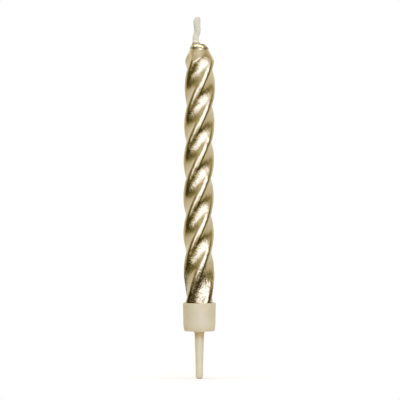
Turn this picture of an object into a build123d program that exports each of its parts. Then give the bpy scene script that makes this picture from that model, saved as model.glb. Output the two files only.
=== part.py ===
from build123d import *
import math
import os

# Spiral birthday candle standing in its push-in holder. Millimetres, +Z up.
# The origin is on the axis at the underside of the cup, where the holder meets the cake.

# Candle body: a wax bar with lobes, twisted about its own axis
candle_length = 60.0
lobe_count = 4
ridge_radius = 3.15
groove_radius = 2.55
crest_radius = 1.42
twist_lead = 31.0
groove_height = 47.2  # height above the candle's foot at which a groove faces +X

# Foot of the candle, held still while the bar was twisted, so its twist is slower
foot_height = 11.0
foot_lead = 42.0

# Cone at the top of the candle
tip_radius = 1.65
tip_half_angle = 24.0
tip_edge_radius = 0.4

# Metallic coat over the wax, open at the foot
coat_thickness = 0.1

# Flat braided wick, which leaves the wax beside the axis and leans back towards it
wick_width = 1.4
wick_thickness = 0.95
wick_corner_radius = 0.4
wick_exposed_length = 5.7
wick_exit_offset = 0.55
wick_end_offset = 0.38
wick_lean_length = 8.0
wick_bend_share = 0.45  # share of the shorter run that each bend may take up

# Holder: a cup with a spike under it, one moulding
cup_height = 6.0
floor_thickness = 1.0
socket_clearance = 0.05
rim_wall = 0.32
base_wall = 0.24
rim_edge_radius = 0.1
base_edge_radius = 0.4
spike_length = 10.0
spike_root_radius = 1.0
spike_end_radius = 0.81
spike_end_length = 3.4  # straight round stretch above the tip
spike_tip_radius = 0.55
spike_flare_radius = 0.3

# Places worked out from those sizes
candle_foot = floor_thickness
candle_top = candle_foot + candle_length
socket_radius = ridge_radius + socket_clearance
rim_radius = socket_radius + rim_wall
base_radius = socket_radius + base_wall
lobe_pitch = 360.0 / lobe_count


def lobed_section(inset):
    # Crest arcs and groove arcs that meet at a tangent. The groove's radius follows from the other three.
    half_pitch = math.radians(lobe_pitch / 2)
    crest_centre = ridge_radius - crest_radius
    spread = 2 * crest_centre * math.cos(half_pitch)
    groove_arc_radius = (
        crest_radius**2 - crest_centre**2 - groove_radius**2 + spread * groove_radius
    ) / (2 * groove_radius - spread - 2 * crest_radius)
    groove_centre = groove_radius + groove_arc_radius
    crest = crest_radius - inset
    hollow = groove_arc_radius + inset

    crest_point = Vector(crest_centre, 0)
    groove_point = Vector(groove_centre, 0).rotate(Axis.Z, lobe_pitch / 2)
    tangent_point = crest_point + (groove_point - crest_point).normalized() * crest
    mirrored_point = Vector(tangent_point.X, -tangent_point.Y)
    groove_floor = Vector(groove_centre - hollow, 0).rotate(Axis.Z, lobe_pitch / 2)

    crest_arc = ThreePointArc(mirrored_point, (crest_centre + crest, 0), tangent_point)
    groove_arc = ThreePointArc(tangent_point, groove_floor, mirrored_point.rotate(Axis.Z, lobe_pitch))
    turns = [Rot(0, 0, lobe_pitch * lobe) for lobe in range(lobe_count)]
    arcs = [turn * arc for turn in turns for arc in (crest_arc, groove_arc)]
    return make_face(arcs)


def twisted_bar(inset):
    # Right-handed twist in two stretches: the slow foot, then the steady lead up to the top.
    section = lobed_section(inset)
    knee_turn = lobe_pitch / 2 + 360 * (foot_height - groove_height) / twist_lead
    foot_turn = 360 * foot_height / foot_lead
    upper_height = candle_length - foot_height
    stretches = [
        (candle_foot, knee_turn - foot_turn, foot_height, foot_turn),
        (candle_foot + foot_height, knee_turn, upper_height, 360 * upper_height / twist_lead),
    ]
    bars = [
        Solid.extrude_linear_with_rotation(
            (Pos(0, 0, height) * Rot(0, 0, start) * section).face(), (0, 0, height), (0, 0, length), turn
        )
        for height, start, length, turn in stretches
    ]
    return Part() + bars


def tip_envelope(inset):
    # Blank wider than the bar, with the cone turned on its top, drawn in by the inset all over.
    slope = math.tan(math.radians(tip_half_angle))
    apex = candle_top + tip_radius / slope - inset / math.sin(math.radians(tip_half_angle))
    blank_radius = 2 * ridge_radius
    top = candle_top - inset
    outline = Polyline(
        (0, candle_foot),
        (blank_radius, candle_foot),
        (blank_radius, apex - blank_radius / slope),
        ((apex - top) * slope, top),
        (0, top),
        close=True,
    )
    face = make_face(Plane.XZ * outline)
    tip_corner = face.vertices().sort_by(Axis.Z)[-2:].sort_by(Axis.X)[-1]
    return revolve(fillet(tip_corner, tip_edge_radius - inset), Axis.Z)


def candle_blank(inset):
    return twisted_bar(inset) & tip_envelope(inset)


def make_wick():
    knee_height = candle_top - wick_lean_length
    end_height = candle_top + wick_exposed_length
    route = [
        (0, 0, candle_foot),
        (0, 0, knee_height),
        (-wick_exit_offset, 0, candle_top),
        (-wick_end_offset, 0, end_height),
    ]
    path = FilletPolyline(*route, radius=wick_bend_radii(route))
    section = RectangleRounded(wick_width, wick_thickness, wick_corner_radius)
    return sweep(Pos(0, 0, candle_foot) * section, path)


def wick_bend_radii(route):
    # Each bend is as large as its two runs allow.
    points = [Vector(point) for point in route]
    runs = [after - before for before, after in zip(points, points[1:])]
    return [
        wick_bend_share
        * min(run.length, following.length)
        / math.tan(math.radians(run.get_angle(following) / 2))
        for run, following in zip(runs, runs[1:])
    ]


def make_holder():
    # Turned outline of the cup and its spike, from the tip round the outside and back down the socket.
    outer = [
        (0, -spike_length),
        (spike_end_radius, -spike_length),
        (spike_end_radius, spike_end_length - spike_length),
        (spike_root_radius, 0),
        (base_radius, 0),
        (rim_radius, cup_height),
        (socket_radius, cup_height),
        (socket_radius, floor_thickness),
        (0, floor_thickness),
    ]
    face = make_face(Plane.XZ * Polyline(*outer, close=True))
    roundings = [
        (outer[1], spike_tip_radius),
        (outer[3], spike_flare_radius),
        (outer[4], base_edge_radius),
        (outer[5], rim_edge_radius),
        (outer[6], rim_edge_radius),
    ]
    for (radius, height), rounding in roundings:
        corner = face.vertices().sort_by_distance((radius, 0, height))[0]
        face = fillet(corner, rounding)
    return revolve(face, Axis.Z)


wick = make_wick()
wax_blank = candle_blank(coat_thickness)
wax_core = wax_blank - wick
gold_coat = candle_blank(0) - wax_blank - wick
holder = make_holder()

os.makedirs("parts", exist_ok=True)
export_step(holder, "parts/holder.step")
export_step(wax_core, "parts/wax_core.step")
export_step(gold_coat, "parts/gold_coat.step")
export_step(wick, "parts/wick.step")
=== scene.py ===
import math
import bpy
import numpy as np
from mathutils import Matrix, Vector


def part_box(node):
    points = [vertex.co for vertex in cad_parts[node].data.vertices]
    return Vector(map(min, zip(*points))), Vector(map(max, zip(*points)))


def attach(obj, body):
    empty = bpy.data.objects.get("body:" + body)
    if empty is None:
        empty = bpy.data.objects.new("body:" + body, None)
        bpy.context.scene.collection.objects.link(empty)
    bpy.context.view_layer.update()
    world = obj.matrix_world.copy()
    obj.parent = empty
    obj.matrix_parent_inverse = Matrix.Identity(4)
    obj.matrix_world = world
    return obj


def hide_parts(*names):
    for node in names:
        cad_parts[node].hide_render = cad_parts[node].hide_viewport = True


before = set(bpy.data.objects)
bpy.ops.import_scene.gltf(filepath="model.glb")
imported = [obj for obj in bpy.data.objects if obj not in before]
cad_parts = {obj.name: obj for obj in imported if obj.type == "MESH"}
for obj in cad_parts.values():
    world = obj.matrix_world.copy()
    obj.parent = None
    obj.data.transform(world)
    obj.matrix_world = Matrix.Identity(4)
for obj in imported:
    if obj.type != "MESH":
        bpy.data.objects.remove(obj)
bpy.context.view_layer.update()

# Spiral birthday candle in its ivory holder. Shapes are worked out in millimetres and stored in metres.
mm = 0.001
tau = 2 * np.pi


def reach(node):
    # lowest and highest point of a CAD node, in millimetres
    return [corner.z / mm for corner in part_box(node)]


footZ, topZ = reach("gold_coat")
spikeZ, rimZ = reach("holder")
wickEnd = reach("wick")[1]


# mesh helpers

def gridFaces(rows, cols, start=0, ringed=False):
    # quads of a tube: rows run up, columns anticlockwise and wrapped round; a ringed grid wraps its rows too
    i, j = np.meshgrid(np.arange(rows if ringed else rows - 1), np.arange(cols), indexing="ij")
    up, on = (i + 1) % rows, (j + 1) % cols
    quads = np.stack([i * cols + j, i * cols + on, up * cols + on, up * cols + j], axis=-1)
    return quads.reshape(-1, 4) + start


def fanFaces(ring, pole, flip=False):
    # triangles from a closed ring of vertex numbers to one pole
    following = np.roll(ring, -1)
    edge = [following, ring] if flip else [ring, following]
    return np.stack(edge + [np.full(len(ring), pole)], axis=-1)


def buildMesh(name, points, quads, tris=None):
    # points in millimetres, faces as index arrays, all smooth
    mesh = bpy.data.meshes.new(name)
    tris = np.zeros((0, 3), int) if tris is None else tris
    corners = np.concatenate([quads.ravel(), tris.ravel()]).astype(np.int32)
    sizes = np.concatenate([np.full(len(quads), 4), np.full(len(tris), 3)]).astype(np.int32)
    mesh.vertices.add(len(points))
    mesh.vertices.foreach_set("co", (points * mm).astype(np.float32).ravel())
    mesh.loops.add(len(corners))
    mesh.loops.foreach_set("vertex_index", corners)
    mesh.polygons.add(len(sizes))
    mesh.polygons.foreach_set("loop_start", np.concatenate([[0], np.cumsum(sizes)[:-1]]).astype(np.int32))
    mesh.polygons.foreach_set("use_smooth", np.ones(len(sizes), bool))
    mesh.update(calc_edges=True)
    mesh.validate()
    piece = bpy.data.objects.new(name, mesh)
    bpy.context.scene.collection.objects.link(piece)
    return piece


def paintMask(piece, name, values):
    # a number for each vertex, which a material reads by name
    mask = piece.data.attributes.new(name, "FLOAT", "POINT")
    mask.data.foreach_set("value", values.astype(np.float32).ravel())


def roundTurn(count):
    # evenly spaced angles of one full turn
    return np.arange(count) / count * tau


def ovalRings(centreX, centreY, halfWide, halfDeep, angle, z):
    # rows of rings about a centre line: x = centre + half width * cos, y = centre + half depth * sin
    x = centreX + halfWide * np.cos(angle)
    y = centreY + halfDeep * np.sin(angle)
    return np.stack([x, y, z + 0 * angle], axis=-1)


def ripple(points, wavelength, seed, waves=16, spread=(0.75, 1.3)):
    # smooth noise of about unit size: plane waves in fixed random directions, added up, each with a wave
    # number that lies within a spread round the wavelength's own
    rng = np.random.default_rng(seed)
    heading = rng.normal(size=(waves, 3))
    heading *= tau / wavelength / np.linalg.norm(heading, axis=1, keepdims=True)
    heading *= rng.uniform(*spread, (waves, 1))
    phase = rng.uniform(0, tau, waves)
    return np.sin(points @ heading.T + phase).sum(axis=-1) * np.sqrt(2 / waves)


def smoothStep(a, b, x):
    t = np.clip((x - a) / (b - a), 0, 1)
    return t * t * (3 - 2 * t)


def outward(grid):
    # unit normals of a grid whose columns close into rings
    across = np.roll(grid, -1, axis=1) - np.roll(grid, 1, axis=1)
    normal = np.cross(across, np.gradient(grid, axis=0))
    return normal / np.maximum(np.linalg.norm(normal, axis=-1, keepdims=True), 1e-9)


# gold coat over the twisted wax

coat = {
    "lobes": 4,
    "ridge": 3.225,              # axis to the top of a ridge
    "groove": 2.54,              # axis to the floor of a groove
    "crest": 1.2,                # radius of a ridge's top
    "flankStart": (-0.5, 0.1),   # the flank with painted shade, in radians of the lobe's wave: it starts just before
    "flankEnd": (3.9, 0.5),      # the crest and fades out towards the middle of the groove
    "cupInset": 0.08,            # ridges are rubbed down where the cup holds them,
    "cupEase": (0.4, -0.6),      # from nothing to full between these heights above the rim
    "lead": 30.9,                # height of a full turn
    "grooveAt": 46.85,           # height above the foot at which a groove faces +X
    "slowBelow": 12.0,           # the foot was held, so its twist is slower
    "slowLead": 45.0,
    "slowEase": 2.0,
    "bow": 0.19,                 # the bar bows a little to the left at mid height
    "bowFrom": 8.0,
    "bowHalfWave": 37.0,
    "bowDone": (52.0, 62.0),     # it comes back to the axis between these heights
    "bulge": (0.06, 4.3, 1.7),   # lobes are fuller below the cone: how far, depth below the top, half height
    "ringDrop": 0.85,            # the cone ends in a ring this far below the top
    "ringR": 1.83,
    "ringShift": -0.06,          # the ring sits a little to the left
    "coneAngle": 26.0,
    "coneOver": 0.5,             # the cone is worked out this far beyond the ridges
    "coneBlend": 0.09,           # how softly the cone runs into the lobes
    "coneLobe": 0.06,            # the lobes still show a little on the cone
    "fluteFade": (0.8, 0.4),     # shares of the cone between which flutes and flanks fade out upwards
    "tilt": (0.03, 0.1),         # the ring is cut on a slant, falling to the right and to the front
    "bead": 0.11,                # thicker edge of the ring, and its half height
    "beadTall": 0.24,
    "edgeWide": 0.16,            # painted shade along the ring: half its width, and where it lies,
    "edgeGap": 0.15,             # as a distance sideways from a point right of the front, in ring radii
    "edgeFrom": (0.15, 0.45),
    "edgeFront": 0.3,            # what is left of it at that point
    "wickX": -0.54,              # middle of the opening round the wick, and its half widths
    "collar": (0.8, 0.78),
    "collarRise": 0.05,          # the coat climbs the wick to this height above the top
    "dome": 2.5,                 # how full the cap is between ring and wick, 1 is straight
    "thickness": 0.1,
    "columns": 160,
    "gather": 0.55,              # how far the columns gather at the ridges
    "bodyStep": 0.14,
    "coneStep": 0.08,
    "capRows": 32,
    "liningEvery": 5,
}
unevenness = {
    "wave": (0.012, 2.6, 11),       # height, wavelength and seed of the bar's slow waves
    "dimple": (0.005, 1.1, 12),
    "footWave": (0.016, 1.5, 13),   # the foot was pinched while soft
    "leather": (0.03, 0.55, 14),
    "pores": (0.008, 0.34, 15),
    "coneDent": (0.005, 1.4, 16),
    "lipDent": (0.006, 1.0, 17),
    "leatherBelow": (17.0, 6.0),    # leather starts and is full at these heights above the foot
    "ridgeLeather": 0.25,           # share of it that the ridges have
    "coneAbove": (-4.0, -2.2),      # the cone's dents start and are full at these heights from the top
    "lipStart": (0.0, 0.1),         # the lip's dents, in shares of the way from the ring to the wick
    "lipEnd": (0.8, 0.4),
    "cupSmooth": 0.6,               # no unevenness this far below the rim, and all of it this far above
}


coneSlope = math.tan(math.radians(coat["coneAngle"]))
ringZ = topZ - coat["ringDrop"]


def lobeRadius(local):
    # polar radius of the section: a crest arc centred on the lobe's own line, then a groove arc centred
    # outside between two lobes, the two meeting at a tangent
    half = np.pi / coat["lobes"]
    angle = np.abs((local + half) % (2 * half) - half)
    crest, groove = coat["crest"], coat["groove"]
    crestAt = coat["ridge"] - crest
    spread = 2 * crestAt * math.cos(half)
    hollow = (crest**2 - crestAt**2 - groove**2 + spread * groove) / (2 * groove - spread - 2 * crest)
    grooveAt = groove + hollow
    meet = math.atan2(
        grooveAt * math.sin(half) * crest,
        crestAt * (crest + hollow) + (grooveAt * math.cos(half) - crestAt) * crest,
    )
    onCrest = np.minimum(angle, meet)
    inGroove = half - np.maximum(angle, meet)
    crestArc = crestAt * np.cos(onCrest) + np.sqrt(crest**2 - (crestAt * np.sin(onCrest)) ** 2)
    grooveArc = grooveAt * np.cos(inGroove) - np.sqrt(hollow**2 - (grooveAt * np.sin(inGroove)) ** 2)
    return np.where(angle < meet, crestArc, grooveArc)


def columnAngles():
    # angle of each column from the first ridge's line: even steps, gathered towards the ridges
    even = roundTurn(coat["columns"])
    return even - coat["gather"] * np.sin(coat["lobes"] * even) / coat["lobes"]


def twistAt(height):
    # turn of the first ridge at a height above the foot: steady above, easing to the slower foot
    steady, slow = tau / coat["lead"], tau / coat["slowLead"]
    below = coat["slowEase"] * np.logaddexp(0, (coat["slowBelow"] - height) / coat["slowEase"])
    return np.pi / coat["lobes"] + steady * (height - coat["grooveAt"]) + (steady - slow) * below


def bowAt(z):
    # sideways bow of the bar: half a sine wave to the left, then back to the right at the top
    along = np.maximum(z - coat["bowFrom"], 0) / coat["bowHalfWave"]
    start, end = coat["bowDone"]
    return -coat["bow"] * np.sin(np.pi * along) * smoothStep(end, start, z)


def coatRows():
    # rows from the foot to the wick: height, share of the way up the cone, and share of the way over the cap
    coneFoot = ringZ - (coat["ridge"] + coat["coneOver"] - coat["ringR"]) / coneSlope
    body = np.arange(footZ, coneFoot, coat["bodyStep"])
    cone = np.linspace(coneFoot, ringZ, round((ringZ - coneFoot) / coat["coneStep"]))
    share = np.linspace(0, 1, coat["capRows"] + 1)[1:]
    cap = ringZ + (1 - (1 - share) ** coat["dome"]) * (coat["ringDrop"] + coat["collarRise"])
    heights = np.concatenate([body, cone, cap])
    upCone = np.clip((heights - coneFoot) / (ringZ - coneFoot), 0, 1)
    return heights, upCone, np.concatenate([np.zeros(len(body) + len(cone)), share])


def coatSkin():
    # radius = soft minimum of the lobed section and the cone; over the cap the rings shrink to the wick's
    # outline. The ring is a slanted cut through the cone, so the rows below it lean over little by little.
    heights, upCone, shares = (a[:, None] for a in coatRows())
    local = columnAngles()
    level = local + twistAt(heights - footZ)
    toRight, toFront = coat["tilt"]
    drop = toRight * (coat["ringR"] * np.cos(level) - coat["wickX"])
    drop = drop - toFront * coat["ringR"] * np.sin(level)
    z = heights - drop * upCone * (1 - shares)
    turn = local + twistAt(z - footZ)
    limits = coat["ringR"] + np.where(shares > 0, drop * upCone, ringZ - z) * coneSlope
    limits += coat["bead"] * np.exp(-(np.minimum(heights - ringZ, 0) / coat["beadTall"]) ** 2)
    limits += coat["coneLobe"] * np.cos(coat["lobes"] * local) * (1 - upCone)
    much, below, tall = coat["bulge"]
    lobes = lobeRadius(local) + much * np.exp(-(((heights - topZ + below) / tall) ** 2))
    soft = coat["coneBlend"]
    radius = -soft * np.logaddexp(-lobes / soft, -limits / soft)
    free, held = (rimZ + rise for rise in coat["cupEase"])
    radius -= coat["cupInset"] * smoothStep(free, held, heights)
    wide, deep = coat["collar"]
    ringX = bowAt(heights) + coat["ringShift"] * upCone
    x = (ringX + radius * np.cos(turn)) * (1 - shares) + (coat["wickX"] + wide * np.cos(turn)) * shares
    y = (radius * (1 - shares) + deep * shares) * np.sin(turn)
    masks = coatMasks(local, turn, heights, upCone, shares)
    return np.stack([x, y, z], axis=-1), shares, masks


def coatMasks(local, turn, heights, upCone, shares):
    # how deep in a flute, how far on the flank of a ridge where shade is painted, and how near the ring where
    # shade is painted too
    body = smoothStep(*coat["fluteFade"], upCone)
    flute = (0.5 - 0.5 * np.cos(coat["lobes"] * local)) * body
    phase = (coat["lobes"] * local + np.pi) % tau - np.pi
    flank = smoothStep(*coat["flankStart"], phase) * smoothStep(*coat["flankEnd"], phase) * body
    offRing = np.where(shares > 0, shares * (coat["ringR"] - coat["collar"][0]), heights - ringZ)
    aside = np.abs(np.cos(turn) - coat["edgeGap"])
    along = coat["edgeFront"] + (1 - coat["edgeFront"]) * smoothStep(*coat["edgeFrom"], aside)
    edge = np.exp(-((offRing / coat["edgeWide"]) ** 2)) * along
    return {"flute": flute, "flank": flank, "edge": edge}


def coatUneven(skin, shares, flute):
    # push along the surface normal: slow waves all over, leather at the foot, dents on the cone and its lip
    def bumps(name):
        height, wavelength, seed = unevenness[name]
        return height * ripple(skin, wavelength, seed)

    z = skin[..., 2]
    foot = smoothStep(*(footZ + rise for rise in unevenness["leatherBelow"]), z)
    cone = smoothStep(*(topZ + rise for rise in unevenness["coneAbove"]), z)
    lip = smoothStep(*unevenness["lipStart"], shares) * smoothStep(*unevenness["lipEnd"], shares)
    onRidge = unevenness["ridgeLeather"]
    push = bumps("wave") + bumps("dimple") + foot * bumps("footWave")
    push += foot * (onRidge + (1 - onRidge) * flute) * (np.abs(bumps("leather")) + bumps("pores"))
    push += cone * bumps("coneDent") + lip * bumps("lipDent")
    push *= smoothStep(rimZ - unevenness["cupSmooth"], rimZ + unevenness["cupSmooth"], z)
    return skin + outward(skin) * push[..., None], foot


def makeCoat(skin):
    # the skin, then its lining one thickness inside and running back down, closed into one ring of rows
    lining = (skin - outward(skin) * coat["thickness"])[::-1][::coat["liningEvery"]]
    lining[0] = skin[-1] - [0, 0, coat["thickness"]]
    lining[-1, :, 2] = footZ
    grid = np.concatenate([skin, lining])
    piece = buildMesh("goldCoat", grid.reshape(-1, 3), gridFaces(*grid.shape[:2], ringed=True))
    return piece, len(lining)


# wax under the coat

wax = {
    "gap": 0.012,             # between wax and coat, so that the two skins never cross
    "everyRow": 6,
    "everyColumn": 2,
    "boreGap": 0.02,          # round the wick
    "boreRows": 96,
    "footRings": 5,
    "footDish": 0.12,         # the cut foot is a little hollow
}


def makeWax(skin):
    # outside under the coat, down the wick's bore, and out over the foot, closed into one ring of rows
    outside = skin - outward(skin) * (coat["thickness"] + wax["gap"])
    outside = outside[::wax["everyRow"], ::wax["everyColumn"]]
    outside[0, :, 2] = footZ
    z = np.linspace(outside[-1, :, 2].mean(), footZ + wax["footDish"], wax["boreRows"])[:, None]
    turn = columnAngles()[::wax["everyColumn"]] + twistAt(z - footZ)
    halfWide, halfDeep = (wick[size] / 2 + wax["boreGap"] for size in ("width", "thickness"))
    bore = ovalRings(*wickAxis(z), halfWide, halfDeep, turn, z)
    t = np.linspace(0, 1, wax["footRings"] + 2)[1:-1, None, None]
    under = bore[-1] * (1 - t) + outside[0] * t
    grid = np.concatenate([outside, bore, under])
    return buildMesh("waxCore", grid.reshape(-1, 3), gridFaces(*grid.shape[:2], ringed=True))


# braided wick

wick = {
    "width": 1.48,
    "thickness": 0.95,
    "strands": 6,             # strands each way round
    "pitch": 3.2,             # height of a strand's full turn
    "strandWide": 0.25,       # half width and half thickness of a strand
    "strandThick": 0.065,
    "weave": 0.024,           # how far a strand dips under the next
    "rootDepth": 3.0,         # braid hidden in the wax
    "leanStart": -0.72,       # sideways place where it leaves the coat, and how far it leans back
    "leanBack": 0.32,
    "kink": 0.135,            # slack S above the coat: its size, start and length as shares of the free end
    "kinkFrom": 0.06,
    "kinkLength": 0.6,
    "kinkDies": 3,            # power with which it dies away
    "sway": (0.05, 0.8),      # slower wave to the front and back: its size, and turns over the free end
    "swayFrom": (-1.0, 2.0),  # it starts and is full at these heights from the top
    "drawnOver": 8.0,         # height over which it leaves the middle of the wax
    "neck": 0.08,             # slimmer low down, fuller towards the cut end
    "neckFrom": (3.8, 1.6),
    "waxFoot": (0.14, 0.36),  # wax drawn up round it, wider at the coat by this much each way
    "waxFootTall": 0.8,
    "waxTip": 0.5,
    "tipLength": 0.8,
    "tipTurn": 0.47,          # the tip's rows stop at this share of a half turn, just short of its point
    "tipRows": 12,
    "tipGap": 0.02,           # least height between the last even row and the tip's first
    "sides": 10,
    "step": 0.08,
    "coreShare": 0.97,
    "coreSides": 32,
    "coreStep": 1.2,
}


def wickAxis(z):
    # centre line: up the middle of the wax, drawn to one side near the top, then a dying S to its end
    t = (z - topZ) / (wickEnd - topZ)
    wave = np.sin(tau * (t - wick["kinkFrom"]) / wick["kinkLength"])
    wave = wave * (1 - np.clip(t, 0, 1) ** wick["kinkDies"])
    free = wick["leanStart"] + wick["leanBack"] * t - wick["kink"] * wave * (t > wick["kinkFrom"])
    x = free * smoothStep(topZ - wick["drawnOver"], topZ, z)
    size, turns = wick["sway"]
    y = size * np.sin(tau * turns * t) * smoothStep(*(topZ + rise for rise in wick["swayFrom"]), z)
    return x, y


def wickSwell(z):
    # share of the full section: a slim neck, a fuller end and a half round tip
    t = np.clip((z - (wickEnd - wick["tipLength"])) / wick["tipLength"], 0, 1)
    above, below = wick["neckFrom"]
    neck = 1 - wick["neck"] * smoothStep(topZ + above, topZ + below, z)
    return neck * np.sqrt(np.maximum(1 - t**2, 0))


def soaked(z):
    # 1 where the wax was drawn up the wick's foot, 0 above, and a trace at the cut end
    foot = smoothStep(topZ + wick["waxFootTall"], topZ, z)
    return np.maximum(foot, wick["waxTip"] * smoothStep(wickEnd - wick["tipLength"], wickEnd, z))


def strandTube(z, hand, strand):
    # one strand of a maypole braid, which winds round, over one and under one:
    # radius = middle +- weave * cos(strands * way * z)
    n, way = wick["strands"], tau / wick["pitch"]
    angle = hand * way * z + tau * strand / n
    swell = wickSwell(z)
    middle = wick["width"] / 2 - wick["strandThick"] - wick["weave"]
    radius = (middle + hand * wick["weave"] * np.cos(n * way * z)) * swell
    line = np.stack([radius * np.cos(angle), radius * np.sin(angle), z], axis=-1)
    along = np.gradient(line, axis=0)
    along /= np.linalg.norm(along, axis=1, keepdims=True)
    out = np.stack([np.cos(angle), np.sin(angle), 0 * z], axis=-1)
    out -= along * (out * along).sum(axis=1, keepdims=True)
    out /= np.linalg.norm(out, axis=1, keepdims=True)
    across = np.cross(along, out)
    side = roundTurn(wick["sides"])
    wide = swell[:, None, None] * wick["strandWide"] * np.cos(side)[None, :, None]
    thick = np.sqrt(swell)[:, None, None] * wick["strandThick"] * np.sin(side)[None, :, None]
    tube = line[:, None] + across[:, None] * wide + out[:, None] * thick
    tube[..., 1] *= wick["thickness"] / wick["width"]
    return tube


def makeWick():
    # braid of strands both ways round, over a waxed core that carries on to the foot of the candle
    rootZ = topZ - wick["rootDepth"]
    # rows crowd together towards the round tip, as on a half circle
    tip = wick["tipLength"] * (1 - np.sin(np.linspace(0, wick["tipTurn"] * np.pi, wick["tipRows"])))
    even = np.arange(rootZ, wickEnd - wick["tipLength"] - wick["tipGap"], wick["step"])
    z = np.concatenate([even, wickEnd - tip])
    axisX, axisY = (a[:, None] for a in wickAxis(z))
    tubes = [strandTube(z, hand, strand) for hand in (1, -1) for strand in range(wick["strands"])]
    for tube in tubes:
        tube[..., 0] += axisX
        tube[..., 1] += axisY
    coreZ = np.concatenate([np.arange(footZ, rootZ, wick["coreStep"]), z])[:, None]
    drawnUp = soaked(coreZ) * (coreZ > rootZ) * (coreZ < topZ + wick["waxFootTall"])
    swell = wickSwell(coreZ) * wick["coreShare"] / 2
    halfWide = swell * wick["width"] + drawnUp * wick["waxFoot"][0]
    halfDeep = swell * wick["thickness"] + drawnUp * wick["waxFoot"][1]
    core = ovalRings(*wickAxis(coreZ), halfWide, halfDeep, roundTurn(wick["coreSides"]), coreZ)
    points, quads, tris = [], [], []
    start = 0
    # each tube is closed by a pole at both ends; a strand's columns run the other way round than the core's
    for tube in [core] + tubes:
        rows, cols = tube.shape[:2]
        points += [tube.reshape(-1, 3), tube[[0, -1]].mean(axis=1)]
        turned = slice(None) if tube is core else slice(None, None, -1)
        quads.append(gridFaces(rows, cols, start)[:, turned])
        ring, pole = start + np.arange(cols), start + rows * cols
        tris.append(fanFaces(ring, pole, flip=tube is core))
        tris.append(fanFaces(ring + (rows - 1) * cols, pole + 1, flip=tube is not core))
        start = pole + 2
    points = np.concatenate(points)
    piece = buildMesh("braidedWick", points, np.concatenate(quads), np.concatenate(tris))
    paintMask(piece, "soaked", soaked(points[:, 2]))
    return piece


# ivory holder, a turned shape

holder = {
    "socketR": 3.2,
    "floor": 1.0,
    "rimWall": 0.29,
    "baseWall": 0.22,
    "rimRound": 0.145,
    "rimLift": 0.1,                  # the moulded rim stands a little proud
    "baseRound": (0.3, 2.4),         # the wall draws in towards its foot: how far, and over what height
    "underRise": 0.12,               # the underside rises this far from the root to its edge
    "rootR": 1.0,
    "endR": 0.81,
    "endLength": 3.4,
    "tipRound": 0.55,
    "flare": 0.52,
    "floorRound": 0.2,
    "spikeWithin": 2.0,              # what lies within this radius counts as spike in the mask below
    "shadedRoot": (0.9, 0.5),         # half height and offset below the cup of the painted shade on the spike's root
    "shadedFloor": (0.22, 0.3, 1.8),  # painted shade low on the cup, over its solid floor: how much, and where it fades out
    "gateR": 0.25,                   # flat in the middle of the socket floor
    "sides": 144,
    # points along each rounding and along each straight stretch
    "arcRows": {"tip": 12, "root": 12, "corner": 24, "lip": 8, "floor": 6},
    "runRows": {"end": 6, "taper": 12, "under": 6, "wall": 14, "socket": 10, "floor": 6},
}


def arc(centre, radii, fromDeg, toDeg, count):
    # points of an arc with one radius, or of an oval's with two
    a = np.radians(np.linspace(fromDeg, toDeg, count))
    return np.array(centre) + np.stack([np.cos(a), np.sin(a)], axis=-1) * radii


def run(a, b, count):
    # points inside a straight stretch, without its two ends
    return np.linspace(a, b, count + 2)[1:-1]


def holderOutline():
    # from the spike's tip up the outside, over the rim and down to the socket floor
    h, arcs, runs = holder, holder["arcRows"], holder["runRows"]
    socket = h["socketR"]
    rimR, baseR = socket + h["rimWall"], socket + h["baseWall"]
    tip, lip, flare, inside = (h[k] for k in ("tipRound", "rimRound", "flare", "floorRound"))
    drawn, drawnTall = h["baseRound"]
    rim = rimZ + h["rimLift"]
    tipEnd = arc((h["endR"] - tip, spikeZ + tip), tip, -90, 0, arcs["tip"])
    straight = (h["endR"], spikeZ + h["endLength"])
    root = arc((h["rootR"] + flare, -flare), flare, 180, 90, arcs["root"])
    corner = arc((baseR - drawn, drawnTall), (drawn, drawnTall - h["underRise"]), -90, 0, arcs["corner"])
    rimOut = arc((rimR - lip, rim - lip), lip, 0, 90, arcs["lip"])
    rimIn = arc((socket + lip, rim - lip), lip, 90, 180, arcs["lip"])
    bottom = arc((socket - inside, h["floor"] + inside), inside, 0, -90, arcs["floor"])
    gate = (h["gateR"], h["floor"])
    return np.concatenate([
        tipEnd, run(tipEnd[-1], straight, runs["end"]), [straight],
        run(straight, root[0], runs["taper"]), root,
        run(root[-1], corner[0], runs["under"]), corner,
        run(corner[-1], rimOut[0], runs["wall"]), rimOut, rimIn[1:],
        run(rimIn[-1], bottom[0], runs["socket"]), bottom,
        run(bottom[-1], gate, runs["floor"]), [gate],
    ])


def makeHolder():
    # the outline turned about the axis and closed by a pole at the tip and one on the socket floor
    outline = holderOutline()
    r, z = outline[:, :1], outline[:, 1:]
    grid = ovalRings(0, 0, r, r, roundTurn(holder["sides"]), z)
    rows, cols = grid.shape[:2]
    points = np.concatenate([grid.reshape(-1, 3), [[0, 0, spikeZ], [0, 0, holder["floor"]]]])
    ring = np.arange(cols)
    tris = np.concatenate([
        fanFaces(ring, rows * cols, flip=True),
        fanFaces(ring + (rows - 1) * cols, rows * cols + 1),
    ])
    piece = buildMesh("ivoryHolder", points, gridFaces(rows, cols), tris)
    # painted shade: amber dark on the spike's root under the cup, and a little low on the cup over its floor
    height = points[:, 2]
    onSpike = np.hypot(points[:, 0], points[:, 1]) < holder["spikeWithin"]
    tall, below = holder["shadedRoot"]
    thick = np.exp(-(((height + below) / tall) ** 2)) * onSpike
    share, low, high = holder["shadedFloor"]
    thick += share * smoothStep(high, low, height) * ~onSpike
    paintMask(piece, "thick", thick)
    return piece


# material helpers

def feed(tree, socket, value):
    # link another node's output to a socket, or set the socket to a constant
    if isinstance(value, bpy.types.NodeSocket):
        tree.links.new(value, socket)
    else:
        socket.default_value = value


def feedNamed(tree, node, values):
    # the same for sockets by name, spaces written as underscores
    for name, value in values.items():
        feed(tree, node.inputs[name.replace("_", " ")], value)


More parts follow.
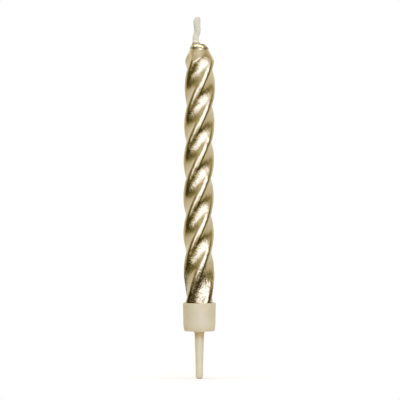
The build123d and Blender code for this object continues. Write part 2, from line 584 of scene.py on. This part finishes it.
def addNode(tree, kind, **values):
    node = tree.nodes.new(kind)
    feedNamed(tree, node, values)
    return node


def mathNode(tree, operation, a, b=0.0):
    node = tree.nodes.new("ShaderNodeMath")
    node.operation = operation
    feed(tree, node.inputs[0], a)
    feed(tree, node.inputs[1], b)
    return node.outputs[0]


def addShare(tree, total, mask, share):
    # total plus a share of a mask
    return mathNode(tree, "ADD", total, mathNode(tree, "MULTIPLY", mask, share))


def mapRange(tree, value, **ends):
    return addNode(tree, "ShaderNodeMapRange", Value=value, **ends).outputs[0]


def mixColour(tree, factor, a, b):
    node = tree.nodes.new("ShaderNodeMix")
    node.data_type = "RGBA"
    feed(tree, node.inputs["Factor"], factor)
    feed(tree, node.inputs[6], a)             # colour inputs come after the number and vector ones
    feed(tree, node.inputs[7], b)
    return node.outputs[2]


def readMask(tree, name):
    # a mask painted on the piece
    node = tree.nodes.new("ShaderNodeAttribute")
    node.attribute_name = name
    return node.outputs["Fac"]


def newGroup(name, inputs, outputs):
    # shader node group with named sockets, each a name and a kind
    group = bpy.data.node_groups.new(name, "ShaderNodeTree")
    for label, kind in inputs:
        group.interface.new_socket(label, in_out="INPUT", socket_type="NodeSocket" + kind)
    for label, kind in outputs:
        group.interface.new_socket(label, in_out="OUTPUT", socket_type="NodeSocket" + kind)
    return group, group.nodes.new("NodeGroupInput").outputs, group.nodes.new("NodeGroupOutput").inputs


def placeGroup(tree, group, **values):
    node = tree.nodes.new("ShaderNodeGroup")
    node.node_tree = group
    feedNamed(tree, node, values)
    return node.outputs


clouds = {
    "mottle": {"Detail": 3.0, "Roughness": 0.55},
    "grain": {"Detail": 2.0, "Roughness": 0.6},
    "mottleRange": (0.3, 0.7),   # noise levels that take the low and the high colour
}


def cloudNoise(tree, scale, texture):
    place = tree.nodes.new("ShaderNodeTexCoord").outputs["Object"]
    return addNode(tree, "ShaderNodeTexNoise", Vector=place, Scale=scale, **texture).outputs["Fac"]


def makeMottleGroup():
    # cloudy change between two colours, and the cloud itself as a mask
    inputs = [("Scale", "Float"), ("Low", "Color"), ("High", "Color")]
    group, given, put = newGroup("mottle", inputs, [("Color", "Color"), ("Mask", "Float")])
    low, high = clouds["mottleRange"]
    cloud = cloudNoise(group, given["Scale"], clouds["mottle"])
    mask = mapRange(group, cloud, From_Min=low, From_Max=high)
    group.links.new(mixColour(group, mask, given["Low"], given["High"]), put["Color"])
    group.links.new(mask, put["Mask"])
    return group


def makeGrainGroup():
    # fine grain as a height: cloud noise times an amount
    group, given, put = newGroup("grain", [("Scale", "Float"), ("Amount", "Float")], [("Height", "Float")])
    fine = cloudNoise(group, given["Scale"], clouds["grain"])
    group.links.new(mathNode(group, "MULTIPLY", fine, given["Amount"]), put["Height"])
    return group


mottleGroup = makeMottleGroup()
grainGroup = makeGrainGroup()


def newMaterial(name, **values):
    material = bpy.data.materials.new(name)
    material.use_nodes = True
    tree = material.node_tree
    shader = tree.nodes["Principled BSDF"]
    feedNamed(tree, shader, values)
    return material, tree, shader


def finish(tree, shader, look, amount=1.0, stainOrShade=None):
    # mottled colour; where a mask says so, real stain on the wick and painted shade on the gold and the
    # holder; fine bumps, and roughness that follows the mottle
    low, high = ((*colour, 1) for colour in look["colours"])
    mottle = placeGroup(tree, mottleGroup, Scale=1 / (look["cloud"] * mm), Low=low, High=high)
    colour = mottle["Color"]
    if stainOrShade is not None:
        colour = mixColour(tree, stainOrShade, colour, (*look["stainOrShade"], 1))
    height = placeGroup(tree, grainGroup, Scale=1 / (look["grain"] * mm), Amount=amount)["Height"]
    bump = addNode(tree, "ShaderNodeBump", Strength=1.0, Distance=look["grainHeight"] * mm, Height=height)
    smooth, rough = look["rough"]
    roughness = mapRange(tree, mottle["Mask"], To_Min=smooth, To_Max=rough)
    feedNamed(tree, shader, {"Base Color": colour, "Normal": bump.outputs["Normal"], "Roughness": roughness})


gold = {
    "colours": ((0.55, 0.496, 0.328), (0.61, 0.556, 0.388)),
    "cloud": 2.2,
    "rough": (0.05, 0.11),
    "grain": 0.33,
    "grainHeight": 0.08,
    "ridgeGrain": 0.12,             # grain on the ridges, in the grooves on top of that, and more at the foot
    "grooveGrain": 0.7,
    "footGrain": 0.3,
    "flankGrain": 0.3,
    "stainOrShade": (0.11, 0.084, 0.034),  # painted shade: on the right flank of each ridge, along the ring,
    "flankShade": 0.12,             # and in dark grains on the flanks of the foot
    "edgeShade": 0.8,
    "footShade": 0.82,
    "speckle": 0.3,                 # those grains: their size, spread and softness
    "speckleDepth": 2.0,
    "speckleSoft": 0.2,
    "speckleEdge": 0.36,            # strength of the mask at which half of the grains are dark
    "speckleFull": 0.3,             # share of the foot's wear at which they have their full darkness
    "coat": 0.4,                    # clear coat, left off where the dark grains of painted shade are
    "coatRough": 0.06,
}


def darkGrains(tree, foot, footFlank):
    # 1 in the dark grains of painted shade, where the mask outweighs the noise, and 0 between them and off
    # the foot
    depth, soft = gold["speckleDepth"], gold["speckleSoft"]
    speckle = placeGroup(tree, grainGroup, Scale=1 / (gold["speckle"] * mm), Amount=depth)["Height"]
    middle = gold["speckleEdge"] - depth / 2
    level = mathNode(tree, "SUBTRACT", footFlank, speckle)
    grains = mapRange(tree, level, From_Min=middle - soft, From_Max=middle + soft)
    return mathNode(tree, "MULTIPLY", grains, mapRange(tree, foot, From_Max=gold["speckleFull"]))


def goldMaterial():
    material, tree, shader = newMaterial("goldLacquer", Metallic=1.0, Coat_Roughness=gold["coatRough"])
    flute, foot, flank, edge = (readMask(tree, name) for name in ("flute", "foot", "flank", "edge"))
    footFlank = mathNode(tree, "MULTIPLY", foot, flank)
    amount = mathNode(tree, "MULTIPLY", flute, gold["grooveGrain"])
    amount = mathNode(tree, "ADD", amount, gold["ridgeGrain"])
    amount = addShare(tree, amount, foot, gold["footGrain"])
    amount = addShare(tree, amount, footFlank, gold["flankGrain"])
    # painted shade: dark grains on the foot's flanks, a dark right flank on each ridge, and a dark line along
    # the ring
    dark = darkGrains(tree, foot, footFlank)
    stainOrShade = mathNode(tree, "MULTIPLY", dark, gold["footShade"])
    stainOrShade = addShare(tree, stainOrShade, flank, gold["flankShade"])
    stainOrShade = addShare(tree, stainOrShade, edge, gold["edgeShade"])
    coatLeft = mathNode(tree, "MULTIPLY", mathNode(tree, "SUBTRACT", 1.0, dark), gold["coat"])
    feed(tree, shader.inputs["Coat Weight"], coatLeft)
    finish(tree, shader, gold, amount, stainOrShade)
    return material


ivory = {
    "colours": ((0.63, 0.59, 0.412), (0.675, 0.632, 0.457)),
    "cloud": 2.5,
    "rough": (0.36, 0.46),
    "grain": 0.12,
    "grainHeight": 0.002,
    "stainOrShade": (0.50, 0.37, 0.17),   # painted shade where less light comes through: the spike's root under the cup and low on the cup
}


def ivoryMaterial():
    material, tree, shader = newMaterial(
        "ivoryPlastic", Subsurface_Weight=0.25, Subsurface_Radius=(1.0, 0.7, 0.35), Subsurface_Scale=0.6 * mm
    )
    # the thick mask carries painted shade
    finish(tree, shader, ivory, stainOrShade=readMask(tree, "thick"))
    return material


cotton = {
    "colours": ((0.865, 0.865, 0.67), (0.915, 0.915, 0.75)),
    "cloud": 0.5,
    "rough": (0.45, 0.6),
    "grain": 0.06,
    "grainHeight": 0.003,
    "stainOrShade": (0.40, 0.345, 0.27),  # where wax was drawn up into it
}


def cottonMaterial():
    material, tree, shader = newMaterial(
        "waxedCotton", Subsurface_Weight=0.2, Subsurface_Radius=(1.0, 0.9, 0.7), Subsurface_Scale=0.3 * mm
    )
    finish(tree, shader, cotton, stainOrShade=readMask(tree, "soaked"))
    return material


paleWax = {
    "colours": ((0.78, 0.72, 0.56), (0.84, 0.79, 0.63)),
    "cloud": 1.5,
    "rough": (0.4, 0.5),
    "grain": 0.3,
    "grainHeight": 0.02,
}


def waxMaterial():
    material, tree, shader = newMaterial(
        "paleWax", Subsurface_Weight=0.4, Subsurface_Radius=(1.0, 0.8, 0.5), Subsurface_Scale=0.8 * mm
    )
    finish(tree, shader, paleWax)
    return material


# pieces in place

def wear(piece, material, node, body):
    piece.data.materials.append(material)
    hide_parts(node)
    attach(piece, body)


skin, shares, masks = coatSkin()
skin, masks["foot"] = coatUneven(skin, shares, masks["flute"])
goldCoat, liningRows = makeCoat(skin)
hidden = np.zeros((liningRows, coat["columns"]))
for name, mask in masks.items():
    paintMask(goldCoat, name, np.concatenate([mask, hidden]))
wear(goldCoat, goldMaterial(), "gold_coat", "candle")
print("gold coat made")
wear(makeWax(skin), waxMaterial(), "wax_core", "candle")
print("wax cast")
wear(makeWick(), cottonMaterial(), "wick", "candle")
print("wick braided")
wear(makeHolder(), ivoryMaterial(), "holder", "holder")
print("holder turned")


# studio

studio = {
    "floorZ": spikeZ * mm,
    "floorR": 0.022,
    "floorSides": 64,
    "floorColour": (0.78, 0.80, 0.86),
    "floorRough": 0.9,
    "floorLift": 0.21,               # own light that makes the floor white to the eye
    "sweep": 0.86,                   # white sweep behind, full and gone at these depths of direction
    "sweepFull": 0.28,
    "sweepGone": -0.27,
    "ceiling": 1.1,                  # the room is lighter overhead
    # soft lights in front: strength, degrees to the right and up, half size sideways and upwards, and
    # hardness of edge
    "keyGlow": (1.88, 6.2, -5.0, 47.3, 37.7, 2.9),
    "fillGlow": (0.30, 0.0, 7.0, 68.0, 54.0, 4.0),
    # negative lights: the viewer and the stand hide parts of the key light
    "viewerShade": (-1.78, 4.0, -28.0, 42.0, 22.0, 1.5),
    "standShade": (-0.8, -13.0, 21.0, 20.0, 15.0, 1.5),
    # the sweep is lightest low down and ends above; these two are turned from straight behind
    "sweepGlow": (0.55, 0.0, 22.0, 60.0, 9.0, 2.0),
    "sweepShade": (-0.8, 0.0, 35.0, 40.0, 16.0, 2.0),
    "roomDark": 0.08,
    "roomTint": (1.0, 0.79, 0.25),   # where it is dim, the room is brown
    "keyTint": (1.0, 1.005, 1.25),   # where it is bright, a cool white
    "tintRange": (0.15, 1.65),       # light levels between which the brown gives way to white
    "topSize": (0.8, 0.2),
    "topPlace": (0.0, -0.06, 0.6),
    "topPower": 1.2,
}


def seenBy(tree, *kinds):
    # 1 for rays of these kinds, 0 for all others
    path = tree.nodes.new("ShaderNodeLightPath")
    seen = path.outputs[kinds[0]]
    for kind in kinds[1:]:
        seen = mathNode(tree, "MAXIMUM", seen, path.outputs[kind])
    return seen


def makeFloor():
    # pale disc under the spike's tip: white to the eye and in reflections, and still dimmed by the shadow
    s = roundTurn(studio["floorSides"])
    rim = np.stack([np.cos(s), np.sin(s)], axis=-1) * studio["floorR"]
    points = np.column_stack([np.concatenate([rim, [[0, 0]]]), np.full(len(s) + 1, studio["floorZ"])]) / mm
    floor = buildMesh("floor", points, np.zeros((0, 4), int), fanFaces(np.arange(len(s)), len(s)))
    material, tree, shader = newMaterial(
        "paleFloor", Base_Color=(*studio["floorColour"], 1), Roughness=studio["floorRough"],
        Emission_Color=(1, 1, 1, 1),
    )
    seen = seenBy(tree, "Is Camera Ray", "Is Glossy Ray", "Is Transmission Ray")
    feed(tree, shader.inputs["Emission Strength"], mathNode(tree, "MULTIPLY", seen, studio["floorLift"]))
    floor.data.materials.append(material)


def softGlow(tree, turn, rise, glow):
    # a soft light on the room's wall: strength * exp(-e ** edge), where e is the squared angle from its
    # middle, measured in its own half sizes
    strength, turnTo, riseTo, wide, tall, edge = glow
    away = []
    for angle, middle, size in ((turn, turnTo, wide), (rise, riseTo, tall)):
        off = mathNode(tree, "SUBTRACT", angle, math.radians(middle))
        away.append(mathNode(tree, "POWER", mathNode(tree, "DIVIDE", off, math.radians(size)), 2.0))
    fade = mathNode(tree, "POWER", mathNode(tree, "ADD", *away), edge)
    shape = mathNode(tree, "EXPONENT", mathNode(tree, "MULTIPLY", fade, -1.0))
    return mathNode(tree, "MULTIPLY", shape, strength)


def roomLight(tree):
    # brightness by direction: the sweep behind, the ceiling, and the soft lights
    direction = tree.nodes.new("ShaderNodeTexCoord").outputs["Generated"]
    part = addNode(tree, "ShaderNodeSeparateXYZ", Vector=direction).outputs
    behind = mapRange(
        tree, part["Y"], From_Min=studio["sweepGone"], From_Max=studio["sweepFull"],
        To_Min=studio["roomDark"], To_Max=studio["sweep"],
    )
    above = mathNode(tree, "MULTIPLY", mathNode(tree, "MAXIMUM", part["Z"], 0.0), studio["ceiling"])
    turn = mathNode(tree, "ARCTAN2", part["X"], mathNode(tree, "MULTIPLY", part["Y"], -1.0))
    turnBehind = mathNode(tree, "ARCTAN2", part["X"], part["Y"])
    rise = mathNode(tree, "ARCSINE", part["Z"])
    light = mathNode(tree, "MAXIMUM", behind, above)
    inFront = ("keyGlow", "fillGlow", "viewerShade", "standShade")
    for angle, names in ((turn, inFront), (turnBehind, ("sweepGlow", "sweepShade"))):
        for name in names:
            light = mathNode(tree, "ADD", light, softGlow(tree, angle, rise, studio[name]))
    return mathNode(tree, "MAXIMUM", light, studio["roomDark"])


def makeWorld():
    # white where it is bright and brown where it is dim; plain white to the camera itself
    world = bpy.data.worlds.new("studioWorld")
    bpy.context.scene.world = world
    world.use_nodes = True
    tree = world.node_tree
    light = roomLight(tree)
    dim, bright = studio["tintRange"]
    level = mapRange(tree, light, From_Min=dim, From_Max=bright)
    tint = mixColour(tree, level, (*studio["roomTint"], 1), (*studio["keyTint"], 1))
    room = tree.nodes["Background"]
    feedNamed(tree, room, {"Color": tint, "Strength": light})
    white = addNode(tree, "ShaderNodeBackground", Color=(1, 1, 1, 1), Strength=1.0)
    eye = addNode(tree, "ShaderNodeMixShader", Fac=seenBy(tree, "Is Camera Ray"))
    tree.links.new(room.outputs[0], eye.inputs[1])
    tree.links.new(white.outputs[0], eye.inputs[2])
    tree.links.new(eye.outputs[0], tree.nodes["World Output"].inputs["Surface"])


view = {
    "distance": 500.0,
    "frameWide": 84.8,        # width of the picture at the candle
    "centre": (0.13, 27.88),
    "sensor": 36.0,
}


def addStand(name, data, at, turn):
    # a lamp or camera put in its place
    stand = bpy.data.objects.new(name, data)
    stand.location = at
    stand.rotation_euler = turn
    bpy.context.scene.collection.objects.link(stand)
    return stand


def makeLamp():
    # a softbox overhead, aimed at the middle of the candle
    lamp = bpy.data.lights.new("topSoftbox", "AREA")
    lamp.shape = "RECTANGLE"
    lamp.size, lamp.size_y = studio["topSize"]
    lamp.energy = studio["topPower"]
    aim = Vector((0, 0, view["centre"][1] * mm)) - Vector(studio["topPlace"])
    addStand("topSoftbox", lamp, studio["topPlace"], aim.to_track_quat("-Z", "Y").to_euler())


def makeCamera():
    # level camera in front of the candle
    camera = bpy.data.cameras.new("photoCamera")
    camera.sensor_width = view["sensor"]
    camera.lens = view["sensor"] * view["distance"] / view["frameWide"]
    across, up = view["centre"]
    place = (across * mm, -view["distance"] * mm, up * mm)
    bpy.context.scene.camera = addStand("photoCamera", camera, place, (math.pi / 2, 0, 0))


makeFloor()
makeWorld()
makeLamp()
makeCamera()
bpy.context.scene.view_settings.view_transform = "Standard"
print("studio set")
